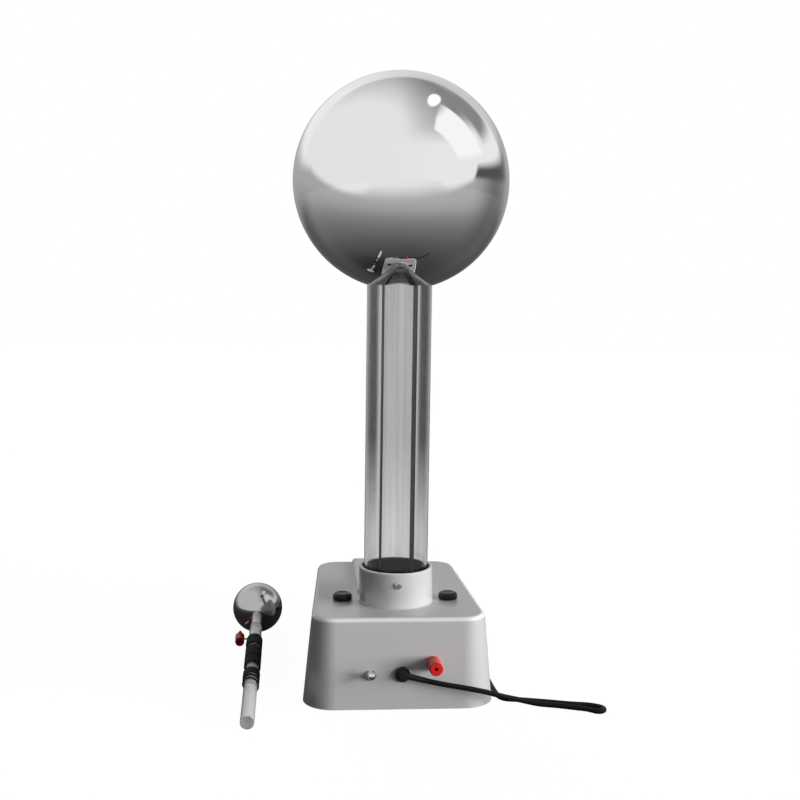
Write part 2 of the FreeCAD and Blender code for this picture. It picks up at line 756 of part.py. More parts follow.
cheek_middle = cheek_place + cheek_sheet / 2
bushes = []
for side in (-1, 1):
    bush = new_body_quietly("bush_" + ("front" if side < 0 else "rear"))
    turn(bush, [(axle_radius + play, -0.8), (axle_radius + 2.5, -0.8), (axle_radius + 2.5, 0),
                (axle_radius + 1.5, 0), (axle_radius + 1.5, cheek_sheet),
                (axle_radius + play, cheek_sheet)])
    place(bush, y=side * cheek_place, z=top_axis, roll=-90 * side)
    bushes.append(bush)
fused("upper_bushes", bushes, True)
roller("upper_roller", axle_radius + 0.02, top_axis)
axle_half = cheek_place + cheek_sheet + 1.4
turned("upper_axle", [(0, -axle_half), (axle_radius - 0.4, -axle_half),
                      (axle_radius, 0.4 - axle_half), (axle_radius, axle_half - 0.4),
                      (axle_radius - 0.4, axle_half), (0, axle_half)], z=top_axis, roll=-90)
rail("upper_comb_rail", -4, 20, cheek_top - rail_side, rail_side, cheek_place, (8, 6))
belt_crest = top_axis + belt_inside + belt_sheet
comb("upper_comb", 20, cheek_top + comb_sheet - belt_crest - comb_gap, 7,
     x=-5, z=cheek_top + comb_sheet, roll=180)
side_spots = []
for x, reach, height in ((0, upright_outer, upright_foot + rail_side / 2),
                         (4, cheek_place + cheek_sheet, cheek_top - rail_side / 2)):
    side_spots.append((x, -reach, height, 0, 0, 90))
    side_spots.append((x, reach, height, 0, 0, -90))
screws("rail_screws", side_spots, thread_radius, 10, 2.75, 2.2)
comb_spots = []
for x, height in ((0, rail_top + comb_sheet), (2, cheek_top + comb_sheet)):
    for side in (-1, 1):
        comb_spots.append((x, side * comb_screw_place, height, 0, 0, 0))
screws("comb_screws", comb_spots, thread_radius, 5, 2.4, 1.4)

seat_top = flange_top + 1.5
seat_inner = root(cheek_half * cheek_half + (cheek_place + cheek_sheet) * (cheek_place + cheek_sheet)) + 0.5
turned("dome_seat", [(seat_inner, 0), (tube_radius, 0), (tube_radius, 1.2),
                     (tube_radius - 0.3, 1.5), (seat_inner, 1.5)], z=flange_top)
strip = new_body("contact_strip")
lines = sketch_on(strip, "YZ_Plane", 8.5)
skin = 0.6
strip_top = cheek_top + comb_sheet
strip_side = cheek_place + cheek_sheet + 0.1
strip_out = strip_side + 3.7
strip_foot = seat_top + play
outline(lines, [(-12, strip_top), (-12, strip_top + skin), (-strip_side - skin, strip_top + skin),
                (-strip_side - skin, strip_foot + skin), (-strip_out, strip_foot + skin),
                (-strip_out, strip_foot), (-strip_side, strip_foot), (-strip_side, strip_top)])
pad(strip, lines, 6)

dome_inner = dome_radius - dome_wall


def dome_floor(radius):
    """Height of the inner face of the dome near its mouth."""
    return dome_height - root(dome_inner * dome_inner - radius * radius)


dome = cut("dome_hollow", ball("dome_outside", dome_radius, z=dome_height),
           ball("dome_inside", dome_inner, z=dome_height))
cut("dome_shell", dome, cylinder("dome_mouth", mouth_radius, dome_radius, z=mouth_height - 40),
    True)
neck_inner = tube_radius + 0.6
neck_outer = neck_inner + 1.4
flare = mouth_radius + 7
lip_foot = seat_top + gap
turned("dome_rim", [(neck_inner, dome_floor(neck_inner) + play), (flare, dome_floor(flare) + play),
                    (flare, dome_floor(flare) + 1.4), (neck_outer, dome_floor(neck_outer) + 2.4),
                    (neck_outer, lip_foot + 1.4), (neck_outer - 0.6, lip_foot + 2),
                    (tube_radius - 1.8, lip_foot + 2), (tube_radius - 1.8, lip_foot),
                    (neck_inner, lip_foot)])


# ---------------------------------------------------------------- front fittings
def face_frame(across, height, lift=0, lean=0):
    """Placement of a fitting on the leaning front face."""
    out = front_foot - height * tangent(wall_tilt)
    return {"x": across, "y": -out - lift * cosine(wall_tilt),
            "z": height + lift * sine(wall_tilt), "roll": 90 - wall_tilt - lean}


def nut(name, across, hole, high, **where):
    body = new_body(name)
    lines = sketch_on(body, "XY_Plane")
    hexagon(lines, as_size(across))
    circles(lines, [(0, 0)], hole)
    pad(body, lines, high)
    place(body, **where)


pivot_lift = 2.5
pivot_radius = 0.8
pivot_half = bushing_radius - 0.4
switch = new_body("toggle_body")
lines = sketch_on(switch, "XY_Plane", -shell_wall - 18)
box_outline(lines, -6.5, 6.5, -9, 9)
pad(switch, lines, 18)
lines = sketch_on(switch, "XY_Plane", -shell_wall)
circles(lines, [(0, 0)], bushing_radius)
pad(switch, lines, shell_wall + 6)
lines = sketch_on(switch, "XY_Plane", 6)
circles(lines, [(0, 0)], bushing_radius - 1.1)
pocket(switch, lines, 6.5)
lines = sketch_on(switch, "YZ_Plane", bushing_radius + 1)
circles(lines, [(0, pivot_lift)], pivot_radius + play)
pocket(switch, lines, 2 * bushing_radius + 2)
place(switch, **face_frame(switch_across, switch_height))
nut("toggle_nut", 11, bushing_radius + play, 2.4, **face_frame(switch_across, switch_height))
lever_place = face_frame(switch_across, switch_height, pivot_lift, lever_tilt)
lever_parts = [ball("lever_foot", 1.5), cone("lever_arm", 1.35, 2.8, 16),
               ball("lever_tip", 4.6, z=16),
               cylinder("lever_pivot", pivot_radius, 2 * pivot_half, x=-pivot_half, pitch=90)]
place(fused("toggle_lever", lever_parts, True), **lever_place)

turned("post_stem", [(0, -11), (stud_radius - 0.4, -11), (stud_radius, -10.6),
                     (stud_radius, 17.6), (stud_radius - 0.4, 18), (0, 18)],
       **face_frame(post_across, post_height))
turned("post_flange", [(stud_radius + play, 0), (post_radius, 0), (post_radius, 5),
                       (post_radius - 1, 6), (stud_radius + play, 6)],
       **face_frame(post_across, post_height))
nut("post_nut", 10, stud_radius + play, 3,
    **face_frame(post_across, post_height, -shell_wall - 3))
turned("post_cap", [(stud_radius + play, 6 + gap), (stud_radius + play, 19), (0, 19), (0, 20.5),
                    (socket_radius, 20.5), (socket_radius, post_reach),
                    (post_radius - 1.4, post_reach), (post_radius - 0.3, post_reach - 1.1),
                    (post_radius - 0.3, 6 + gap)],
       **face_frame(post_across, post_height))

boss = face_frame(relief_across, relief_height)
boot_foot = face_frame(relief_across, relief_height, 5.5)
boot_length = 26
boot_heading = Vector(0.972, -0.086, -0.217).normalize()
boot_yaw = math.degrees(math.atan2(boot_heading.y, boot_heading.x))
boot_pitch = 90 + math.degrees(math.asin(-boot_heading.z))
relief = [cylinder("relief_shank", 5, shell_wall + 6,
                   **face_frame(relief_across, relief_height, -shell_wall - 6)),
          cylinder("relief_boss", 8.7, 3.4, **boss),
          cone("relief_front", 8.7, 7.8, 0.9,
               **face_frame(relief_across, relief_height, as_size(3.4))),
          cylinder("relief_hub", 5.2, 8.2, **boss),
          cone("relief_cap", 5.2, 4, 1.2,
               **face_frame(relief_across, relief_height, as_size(8.2))),
          cone("relief_boot", 3.9, cord_radius + 0.25, boot_length, x=boot_foot["x"],
               y=boot_foot["y"], z=boot_foot["z"], yaw=boot_yaw, pitch=boot_pitch)]
fused("strain_relief", relief, True)
nut("relief_nut", 15, 5 + play, 3, **face_frame(relief_across, relief_height, -shell_wall - 3))

block = new_body("terminal_block")
lines = sketch_on(block, "XY_Plane")
box_outline(lines, 0, 34, 0, 16)
pad(block, lines, 14)
lines = sketch_on(block, "XY_Plane", 14)
circles(lines, [(5.5 + 11.5 * i, 8) for i in range(3)], 2.2)
pocket(block, lines, 9)
place(block, x=-78, y=40, z=plate_top)

# ---------------------------------------------------------------- mains cord and plug
coil_centre = (46.0, back_reach.number + 63)
coil_inner = 25.75
coil_outer = 46.25
coil_foot = 1.0
coil_height = 13.3
boot_end = Vector(boot_foot["x"].number, boot_foot["y"].number, boot_foot["z"].number) \
    + boot_heading * boot_length
low = cord_radius.number
cord_route = [tuple(boot_end), tuple(boot_end + boot_heading * 19)]
cord_route += [(76.6, -97.6, 27.9), (100.8, -96.8, 22.2), (119, -90.5, 14.9), (136, -83, 8.8),
               (150, -81, 4.6)]
cord_route += [(x, y, low) for x, y in (
    (163, -84.4), (176, -87.6), (188, -91.5), (201, -96.8), (214, -101.2),
    (224, -110.6), (232, -107.8), (233.6, -99.4), (226.4, -92.8), (215, -88), (203, -86.2),
    (192.7, -83.4), (183, -80.6), (173.2, -77.3), (164.2, -75), (155, -72.6), (145.4, -70),
    (136, -67.3), (129, -66.3), (123.4, -63.6), (119.6, -59), (118, -52.4), (117, -43),
    (115.6, -24), (114.7, 10), (112.6, 54), (108.9, 102), (105.4, 151), (100.6, 193),
    (93.8, 223))]
cord_route += [(89.5, 240, low + 0.6), (89, 249.9, low + 1)]
lengths = [cord("mains_cord", cord_route, cord_radius.number)]

turned("cord_coil", [(coil_inner + 1.5, 0), (coil_outer - 1.5, 0), (coil_outer, 1.5),
                     (coil_outer, coil_height - 3), (coil_outer - 3, coil_height),
                     (coil_inner + 3, coil_height), (coil_inner, coil_height - 3),
                     (coil_inner, 1.5)],
       x=coil_centre[0], y=coil_centre[1], z=coil_foot)
lead_route = [(23, coil_centre[1] + 35, 11), (7, coil_centre[1] + 35, 12.8),
              (-12, coil_centre[1] + 34.5, plug_radius.number)]
lengths.append(cord("plug_lead", lead_route, cord_radius.number))

tie_wide = 8
tie_inside = coil_inner - 0.6
tie_outside = coil_outer + 0.3
tie_turn = 200
band = 0.8
tie_outer = box("tie_outer", tie_outside - tie_inside + 2 * band, tie_wide, coil_height + 2.2,
                x=tie_inside - band, y=-tie_wide / 2)
tie_hole = box("tie_hole", tie_outside - tie_inside, tie_wide + 2, coil_height + 2.2 - 2 * band,
               x=tie_inside, y=-tie_wide / 2 - 1, z=band)
place(cut("cord_tie", tie_outer, tie_hole, True), x=coil_centre[0], y=coil_centre[1], yaw=tie_turn)

plug_length = 46
plug_place = {"x": -12, "y": coil_centre[1] + 34.5, "z": plug_radius, "pitch": -90}
plug = new_body("plug_body")
turn(plug, [(0, 0), (5.5, 0), (6.5, 12), (plug_radius - 2, 20), (plug_radius, 24),
            (plug_radius, plug_length - 1), (plug_radius - 1, plug_length), (0, plug_length)])
lines = sketch_on(plug, "XY_Plane", plug_length)
circles(lines, [(0, -9.5), (0, 9.5)], 2)
pocket(plug, lines, 8)
place(plug, **plug_place)
pins = new_body("plug_pins")
lines = sketch_on(pins, "XY_Plane", plug_length - 8)
circles(lines, [(0, -9.5), (0, 9.5)], 2 - play)
pad(pins, lines, 8)
lines = sketch_on(pins, "XY_Plane", plug_length)
circles(lines, [(0, -9.5), (0, 9.5)], 2.4)
pad(pins, lines, 19)
round_edges(pins, 1.6, lambda edge: edge.BoundBox.ZMin > plug_length + 18)
place(pins, **plug_place)

# ---------------------------------------------------------------- discharge wand
ratio = wand_ball_radius / root(wand_length * wand_length + wand_rod_radius * wand_rod_radius)
wand_tilt = arc_sine(ratio) - arc_tangent(wand_rod_radius / wand_length)
wand = {"x": wand_across, "y": wand_back, "z": wand_ball_radius, "yaw": wand_turn,
        "roll": 90 + wand_tilt}
ball_shell = cut("ball_shell", ball("ball_outside", wand_ball_radius),
                 ball("ball_inside", wand_ball_radius - 1.5))
place(cut("wand_ball", ball_shell, cylinder("ball_hole", 5 + play, 40), True), **wand)
stem_end = wand_ball_radius + stem_length
turned("wand_stem", [(0, wand_ball_radius - 9), (5, wand_ball_radius - 9), (5, wand_ball_radius),
                     (stem_radius - 0.4, wand_ball_radius), (stem_radius, wand_ball_radius + 0.6),
                     (stem_radius, stem_end), (4, stem_end), (4, stem_end + 12),
                     (0, stem_end + 12)], **wand)
loose_end = wand_ball_radius + 230.5
rod = new_body("wand_rod")
turn(rod, [(4 + play, stem_end), (wand_rod_radius - 0.6, stem_end),
           (wand_rod_radius, stem_end + 0.6), (wand_rod_radius, wand_length - 0.6),
           (wand_rod_radius - 0.6, wand_length), (0, wand_length), (0, stem_end + 13),
           (4 + play, stem_end + 13)])
lines = sketch_on(rod, "XZ_Plane", wand_rod_radius)
circles(lines, [(0, loose_end)], lead_radius + 0.2)
pocket(rod, lines, wand_rod_radius - 1)
place(rod, **wand)

groups = [(wand_ball_radius + first, wand_ball_radius + last)
          for first, last in ((86, 115), (123.5, 175), (193, 211))]
winding_outer = wand_rod_radius + 2 * lead_radius + 0.3
link_radius = wand_rod_radius + 1
profile = [(wand_rod_radius + play, groups[0][0])]
for first, last in groups:
    profile += [(winding_outer - 1, first), (winding_outer, first + 1), (winding_outer, last - 1),
                (winding_outer - 1, last)]
    if last is not groups[-1][1]:
        profile += [(link_radius, last), (link_radius, groups[groups.index((first, last)) + 1][0])]
turned("wand_lead_winding", profile + [(wand_rod_radius + play, groups[-1][1])], **wand)
tilt = math.radians(wand_tilt.number)
wand_axis = Vector(math.sin(math.radians(wand_turn.number)) * math.cos(tilt),
                   -math.cos(math.radians(wand_turn.number)) * math.cos(tilt), -math.sin(tilt))
wand_side = Vector(-1, 0, 0)
wand_up = wand_side.cross(wand_axis).normalize()
wand_side = wand_axis.cross(wand_up).normalize()
wand_middle = Vector(wand_across.number, wand_back.number, wand_ball_radius.number)


def round_rod(along, angle, radius):
    """A point round the wand rod; angle 0 is on top, 90 on the left."""
    bend = math.radians(angle)
    point = wand_middle + wand_axis * along
    point = point + (wand_up * math.cos(bend) + wand_side * math.sin(bend)) * radius
    return (point.x, point.y, point.z)


turn_radius = wand_rod_radius.number + lead_radius.number + 0.45
loose_from = groups[-1][1].number - 2
loose_run = loose_end.number - loose_from
turns = []
for i in range(23):
    share = i / 24
    turns.append(round_rod(loose_from + loose_run * share, 180 - 720 * share, turn_radius))
turns.append(round_rod(loose_end.number, 184, turn_radius + 1.6))
turns.append(round_rod(loose_end.number, 180, 1.5))
lengths.append(cord("wand_lead_turns", turns, lead_radius.number))

plug_near = Vector(-193.2, 150, 6)
plug_heading = Vector(-1.52, 38, 0).normalize()
plug_side = Vector(plug_heading.y, -plug_heading.x, 0)
wand_plug_yaw = math.degrees(math.atan2(plug_heading.y, plug_heading.x))
wand_plug_place = {"x": plug_near.x, "y": plug_near.y, "z": plug_near.z,
                   "yaw": wand_plug_yaw, "pitch": 90}
entry = plug_near + plug_heading * 13 + plug_side * 6
leave = Vector(*round_rod(groups[0][0].number + 2, 90, winding_outer.number - lead_radius.number))
lead_points = [tuple(leave)]
lead_points += [tuple(leave + Vector(*step)) for step in (
    (-1.4, 1.2, -7.5), (0.9, 5.7, -15), (5.9, 13.7, -19.6), (10.4, 24.7, -20.4),
    (13.7, 37.7, -20.4), (14.5, 50.7, -20.2), (13.1, 61.3, -19.6))]
lead_points += [tuple(entry + plug_side * 10.5), tuple(entry)]
lengths.append(cord("wand_lead", lead_points, lead_radius.number))
turned("wand_plug", [(socket_radius + play, 0), (5.2, 0), (6, 0.8), (6, 24), (4.6, 30),
                     (0, 30), (0, 18), (socket_radius + play, 18)], **wand_plug_place)
turned("wand_plug_pin", [(0, 30), (socket_radius, 30), (socket_radius, 44),
                         (socket_radius - 0.8, 45), (0, 45)], **wand_plug_place)

# ---------------------------------------------------------------- checks and export
doc.recompute()
wrong = [item.Label for item in doc.Objects if {"Invalid", "Error"} & set(item.State)]
for node in nodes:
    shape = node.Shape
    if shape.isNull() or not shape.isValid() or not shape.Solids:
        wrong.append(node.Label)
if wrong:
    raise ValueError("not sound: " + ", ".join(wrong))
os.makedirs("parts", exist_ok=True)
for node in nodes:
    node.Shape.exportStep("parts/%s.step" % node.Label)
for line in report:
    print(line)
print("cord lengths", " ".join("%.1f" % length for length in lengths))
print("post axis", post_across.number, face_frame(post_across, post_height, post_reach)["y"].number,
      face_frame(post_across, post_height, post_reach)["z"].number)
print("pivot", lever_place["y"].number, lever_place["z"].number)
print("wand tilt", wand_tilt.number, "axis", wand_axis)
print("nodes", len(nodes))
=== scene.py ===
import math
import bpy
from mathutils import Matrix, Vector


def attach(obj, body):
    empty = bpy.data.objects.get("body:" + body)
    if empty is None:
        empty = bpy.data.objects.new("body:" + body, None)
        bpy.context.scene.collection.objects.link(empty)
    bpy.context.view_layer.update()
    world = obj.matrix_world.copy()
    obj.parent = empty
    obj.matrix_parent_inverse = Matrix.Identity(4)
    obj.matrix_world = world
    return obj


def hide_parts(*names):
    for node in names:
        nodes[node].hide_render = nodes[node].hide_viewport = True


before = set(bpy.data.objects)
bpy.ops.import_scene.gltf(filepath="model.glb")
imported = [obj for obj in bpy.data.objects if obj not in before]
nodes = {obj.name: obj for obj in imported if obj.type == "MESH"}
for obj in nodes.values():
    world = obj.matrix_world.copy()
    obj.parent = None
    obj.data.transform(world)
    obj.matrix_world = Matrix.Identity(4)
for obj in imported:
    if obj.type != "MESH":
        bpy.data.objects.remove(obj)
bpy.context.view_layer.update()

# Shapes are written in millimetres and made in metres. X is right, Y is back and Z is up.
MM = 0.001


# ------------------------------------------------------------------ camera
CAMERA_AT = (-0.1140, -1.4139, 0.5055)
CAMERA_AHEAD = (0.0815, 0.9904, -0.1118)
CAMERA_ROLL = math.radians(0.82)
CAMERA_LENS = 54.42
CAMERA_SENSOR = 36.0
CAMERA_CLIP_END = 50.0


def make_camera():
    """The photograph's view, from a camera fitted to its edges."""
    data = bpy.data.cameras.new("camera")
    data.lens = CAMERA_LENS
    data.sensor_width = CAMERA_SENSOR
    data.clip_end = CAMERA_CLIP_END
    camera = bpy.data.objects.new("camera", data)
    bpy.context.scene.collection.objects.link(camera)
    ahead = Vector(CAMERA_AHEAD).normalized()
    right = ahead.cross(Vector((0, 0, 1))).normalized()
    up = right.cross(ahead)
    side = right * math.cos(CAMERA_ROLL) + up * math.sin(CAMERA_ROLL)
    top = up * math.cos(CAMERA_ROLL) - right * math.sin(CAMERA_ROLL)
    turn = Matrix((side, top, -ahead)).transposed().to_4x4()
    camera.matrix_world = Matrix.Translation(CAMERA_AT) @ turn
    bpy.context.scene.camera = camera


make_camera()
bpy.context.scene.view_settings.view_transform = "Standard"


# ------------------------------------------------------------------ nodes
NOISE_LOW, NOISE_HIGH = 0.3, 0.7  # nearly all of a noise texture lies between these
MIX_FACTOR, MIX_A, MIX_B, MIX_OUT = 0, 6, 7, 2  # the colour sockets of a Mix node


def grey(value):
    return (value, value, value)


def link(tree, out, into):
    tree.links.new(out, into)


def feed(tree, value, socket):
    """Give a socket a number, a tuple or another socket's value."""
    if isinstance(value, (int, float, tuple)):
        socket.default_value = value
    else:
        link(tree, value, socket)


def maths(tree, operation, *values):
    """A math node whose inputs are sockets or numbers."""
    node = tree.nodes.new("ShaderNodeMath")
    node.operation = operation
    for socket, value in zip(node.inputs, values):
        feed(tree, value, socket)
    return node.outputs["Value"]


def product(tree, *factors):
    value = factors[0]
    for factor in factors[1:]:
        value = maths(tree, "MULTIPLY", value, factor)
    return value


def darkened(tree, value, mask, share):
    """Take a share off a value where a mask is 1."""
    return product(tree, value, maths(tree, "SUBTRACT", 1.0, product(tree, mask, share)))


def vectors(tree, operation, vector, constant=None):
    """A vector math node on a socket and, where it takes one, a constant."""
    node = tree.nodes.new("ShaderNodeVectorMath")
    node.operation = operation
    link(tree, vector, node.inputs[0])
    if constant is not None:
        node.inputs[1].default_value = constant
    return node.outputs["Value" if operation == "DOT_PRODUCT" else "Vector"]


def axes(tree, vector):
    """The X, Y and Z of a vector."""
    node = tree.nodes.new("ShaderNodeSeparateXYZ")
    link(tree, vector, node.inputs["Vector"])
    return [node.outputs[axis] for axis in "XYZ"]


def ramp(tree, value, low, high, start=0.0, end=1.0, smooth=True):
    """Go from start to end while a value goes from low to high."""
    node = tree.nodes.new("ShaderNodeMapRange")
    node.interpolation_type = "SMOOTHSTEP" if smooth else "LINEAR"
    for key, number in (("From Min", low), ("From Max", high), ("To Min", start), ("To Max", end)):
        node.inputs[key].default_value = number
    link(tree, value, node.inputs["Value"])
    return node.outputs["Result"]


def within(tree, value, low, high, soft=0.03):
    """1 inside a range, 0 outside, with soft edges."""
    return product(tree, ramp(tree, value, low - soft, low + soft),
                   ramp(tree, value, high - soft, high + soft, 1.0, 0.0))


def layered(tree, below, mask, value):
    """Lay a value over another where a mask is 1."""
    node = tree.nodes.new("ShaderNodeMix")
    link(tree, mask, node.inputs["Factor"])
    feed(tree, below, node.inputs["A"])
    feed(tree, value, node.inputs["B"])
    return node.outputs["Result"]


def blended(tree, factor, first, second, blend="MIX"):
    """Mix two colours, which are sockets or tuples."""
    node = tree.nodes.new("ShaderNodeMix")
    node.data_type = "RGBA"
    node.blend_type = blend
    feed(tree, factor, node.inputs[MIX_FACTOR])
    feed(tree, first, node.inputs[MIX_A])
    feed(tree, second, node.inputs[MIX_B])
    return node.outputs[MIX_OUT]


def tones(tree, value, stops):
    """A colour ramp through (place, colour) stops."""
    node = tree.nodes.new("ShaderNodeValToRGB")
    marks = node.color_ramp.elements
    for place, _ in stops[1:-1]:
        marks.new(place)
    for mark, (place, colour) in zip(marks, stops):
        mark.position = place
        mark.color = (*colour, 1)
    link(tree, value, node.inputs["Fac"])
    return node.outputs["Color"]


def grey_tones(tree, value, stops):
    return tones(tree, value, [(place, grey(tone)) for place, tone in stops])


def two_tones(tree, value, low, high):
    """Map a noise value onto the colours between two tones."""
    return tones(tree, value, ((NOISE_LOW, low), (NOISE_HIGH, high)))


def spread(tree, value, low, high):
    """Map a noise value onto a narrow range."""
    return ramp(tree, value, NOISE_LOW, NOISE_HIGH, low, high, smooth=False)


def noise(tree, vector, scale, detail=3.0, stretch=None):
    if stretch:
        mapping = tree.nodes.new("ShaderNodeMapping")
        mapping.inputs["Scale"].default_value = stretch
        link(tree, vector, mapping.inputs["Vector"])
        vector = mapping.outputs["Vector"]
    node = tree.nodes.new("ShaderNodeTexNoise")
    node.inputs["Scale"].default_value = scale
    node.inputs["Detail"].default_value = detail
    link(tree, vector, node.inputs["Vector"])
    return node.outputs["Fac"]


def bump(tree, shader, value, strength, distance):
    node = tree.nodes.new("ShaderNodeBump")
    node.inputs["Strength"].default_value = strength
    node.inputs["Distance"].default_value = distance
    link(tree, value, node.inputs["Height"])
    link(tree, node.outputs["Normal"], shader.inputs["Normal"])


def nodes_of(name):
    """A new material with its tree, its shader and its object coordinates."""
    material = bpy.data.materials.new(name)
    material.use_nodes = True
    tree = material.node_tree
    place = tree.nodes.new("ShaderNodeTexCoord")
    return material, tree, tree.nodes["Principled BSDF"], place.outputs["Object"]


# ------------------------------------------------------------------ materials
COAT_ROUGHNESS = 0.12
FINE_DETAIL = 4.0
ACRYLIC_IOR = 1.49
ACRYLIC_SHADOW = 0.8  # the share of light that acrylic lets through to its shadow
SMOKE_TINT = (0.48, 0.49, 0.5, 1)
FOOT_LOW, FOOT_HIGH = 0.19, 0.30  # heights in metres between which the painted reflection bands come in
FOOT_PALE = 0.9  # how far the painted reflection bands are gone below them
STREAK_SCALE, STREAK_STRETCH, STREAK_TONE = 170.0, (1, 1, 0.02), 0.86
WEAR_SCALE = 18.0
WAVES_SCALE, WAVES_STRENGTH, WAVES_DISTANCE = 60.0, 0.015, 0.0002
EDGE_STARTS, EDGE_FULL = 0.25, 0.5  # upward parts of a normal where the painted highlight on an edge comes in
EDGE_FADES, EDGE_ENDS = 0.9, 0.99  # and where it goes out toward a flat top
RINGS = (0.4, 0.4, 60.0)  # stretches a noise into rings round the upright axis


def surface(name, low, high, metal, rough, grain, strength=0.1, distance=0.0002, stretch=None,
            cloud=6.0, coat=0.0, specular=0.5):
    """A finish with cloudy colour, uneven roughness and a fine grain."""
    material, tree, shader, where = nodes_of(name)
    for key, value in (("Metallic", metal), ("Coat Weight", coat),
                       ("Coat Roughness", COAT_ROUGHNESS), ("Specular IOR Level", specular)):
        shader.inputs[key].default_value = value
    clouds = noise(tree, where, cloud)
    link(tree, two_tones(tree, clouds, low, high), shader.inputs["Base Color"])
    fine = noise(tree, where, grain, FINE_DETAIL, stretch)
    link(tree, spread(tree, fine, *rough), shader.inputs["Roughness"])
    bump(tree, shader, fine, strength, distance)
    return material


def painted_reflection_bands(tree, where, reflection_stops):
    """Painted reflection: dark and light bands by viewing angle toward the sides of a tube, paler
    at its foot, with fine upright streaks.
    """
    layer = tree.nodes.new("ShaderNodeLayerWeight")
    layer.inputs["Blend"].default_value = 0.5
    # painted reflection: the colour darkens and lightens with the viewing angle
    reflection_shade = grey_tones(tree, layer.outputs["Facing"], reflection_stops)
    _, _, height = axes(tree, where)
    fade = ramp(tree, height, FOOT_LOW, FOOT_HIGH, FOOT_PALE, 0.0, smooth=False)
    paler = blended(tree, fade, reflection_shade, (1, 1, 1, 1))
    uneven = noise(tree, where, STREAK_SCALE, 1.0, STREAK_STRETCH)
    streaks = two_tones(tree, uneven, grey(STREAK_TONE), grey(1.0))
    return blended(tree, 1.0, paler, streaks, "MULTIPLY")


def clear(name, rough, smoke, stretch, reflection_stops=None, haze=0.0):
    """Acrylic with a smoke tint in its depth, and with painted reflection bands or a white haze.
    """
    material, tree, shader, where = nodes_of(name)
    colour = painted_reflection_bands(tree, where, reflection_stops) if reflection_stops else (*grey(1.0 - haze), 1)
    feed(tree, colour, shader.inputs["Base Color"])
    shader.inputs["Transmission Weight"].default_value = 1.0 - haze
    shader.inputs["IOR"].default_value = ACRYLIC_IOR
    wear = noise(tree, where, WEAR_SCALE, FINE_DETAIL, stretch)
    link(tree, spread(tree, wear, *rough), shader.inputs["Roughness"])
    waves = noise(tree, where, WAVES_SCALE, 2.0, stretch)
    bump(tree, shader, waves, WAVES_STRENGTH, WAVES_DISTANCE)
    path = tree.nodes.new("ShaderNodeLightPath")
    through = tree.nodes.new("ShaderNodeBsdfTransparent")
    through.inputs["Color"].default_value = (*grey(ACRYLIC_SHADOW), 1)
    mix = tree.nodes.new("ShaderNodeMixShader")
    out = tree.nodes["Material Output"]
    link(tree, path.outputs["Is Shadow Ray"], mix.inputs["Fac"])
    link(tree, shader.outputs["BSDF"], mix.inputs[1])
    link(tree, through.outputs["BSDF"], mix.inputs[2])
    link(tree, mix.outputs["Shader"], out.inputs["Surface"])
    depth = tree.nodes.new("ShaderNodeVolumeAbsorption")
    depth.inputs["Color"].default_value = SMOKE_TINT
    depth.inputs["Density"].default_value = smoke
    link(tree, depth.outputs["Volume"], out.inputs["Volume"])
    return material


def painted_edge_highlight(material, tone, share):
    """Painted highlight: lighten a paint on its upper rounded edges, which face neither straight
    up nor sideways.
    """
    tree = material.node_tree
    colour = tree.nodes["Principled BSDF"].inputs["Base Color"]
    place = tree.nodes.new("ShaderNodeTexCoord")
    _, _, up = axes(tree, place.outputs["Normal"])
    mask = product(tree, ramp(tree, up, EDGE_STARTS, EDGE_FULL, 0.0, share, smooth=False),
                   ramp(tree, up, EDGE_FADES, EDGE_ENDS, 1.0, 0.0, smooth=False))
    link(tree, blended(tree, mask, colour.links[0].from_socket, (*grey(tone), 1)), colour)


paint = surface("satin_silver_paint", (0.50, 0.50, 0.505), (0.53, 0.53, 0.535), metal=0.15,
                rough=(0.30, 0.36), grain=500.0, strength=0.03, distance=0.0001, cloud=3.0,
                coat=0.1)
# a painted highlight on the upper rounded edges of the housing and its spine
painted_edge_highlight(paint, tone=0.82, share=0.9)
collar_paint = surface("satin_collar", (0.62, 0.62, 0.625), (0.66, 0.66, 0.665), metal=0.32,
                       rough=(0.20, 0.26), grain=40.0, strength=0.04, distance=0.0001,
                       stretch=RINGS)
polished = surface("polished_dome", (0.84, 0.84, 0.85), (0.87, 0.87, 0.875), metal=1.0,
                   rough=(0.01, 0.03), grain=24.0, strength=0.012, stretch=RINGS, cloud=3.0)
chrome = surface("bright_plating", grey(0.66), grey(0.72), metal=1.0, rough=(0.08, 0.14),
                 grain=120.0, strength=0.03, distance=0.0001)
steel = surface("polished_steel", grey(0.46), grey(0.52), metal=1.0, rough=(0.10, 0.16),
                grain=120.0, strength=0.03, distance=0.0001)
zinc = surface("zinc_sheet", grey(0.45), grey(0.58), metal=0.95, rough=(0.30, 0.45),
               grain=180.0, cloud=40.0)
fixing = surface("plated_fixings", grey(0.50), grey(0.60), metal=1.0, rough=(0.22, 0.34),
                 grain=300.0, distance=0.0001)
brass = surface("brass", (0.62, 0.44, 0.17), (0.72, 0.53, 0.22), metal=1.0,
                rough=(0.22, 0.36), grain=200.0)
machined = surface("machined_aluminium", grey(0.55), grey(0.62), metal=1.0,
                   rough=(0.28, 0.38), grain=40.0, strength=0.12, stretch=(1.0, 60.0, 1.0))
rubber = surface("black_rubber", grey(0.008), grey(0.014), metal=0.0, rough=(0.6, 0.75),
                 grain=260.0, strength=0.15, specular=0.25)
plastic = surface("black_plastic", grey(0.006), grey(0.010), metal=0.0, rough=(0.4, 0.5),
                  grain=700.0, distance=0.0001, specular=0.3)
gloss = surface("gloss_black_plastic", grey(0.004), grey(0.006), metal=0.0,
                rough=(0.16, 0.24), grain=500.0, strength=0.05, distance=0.0001, specular=0.2)
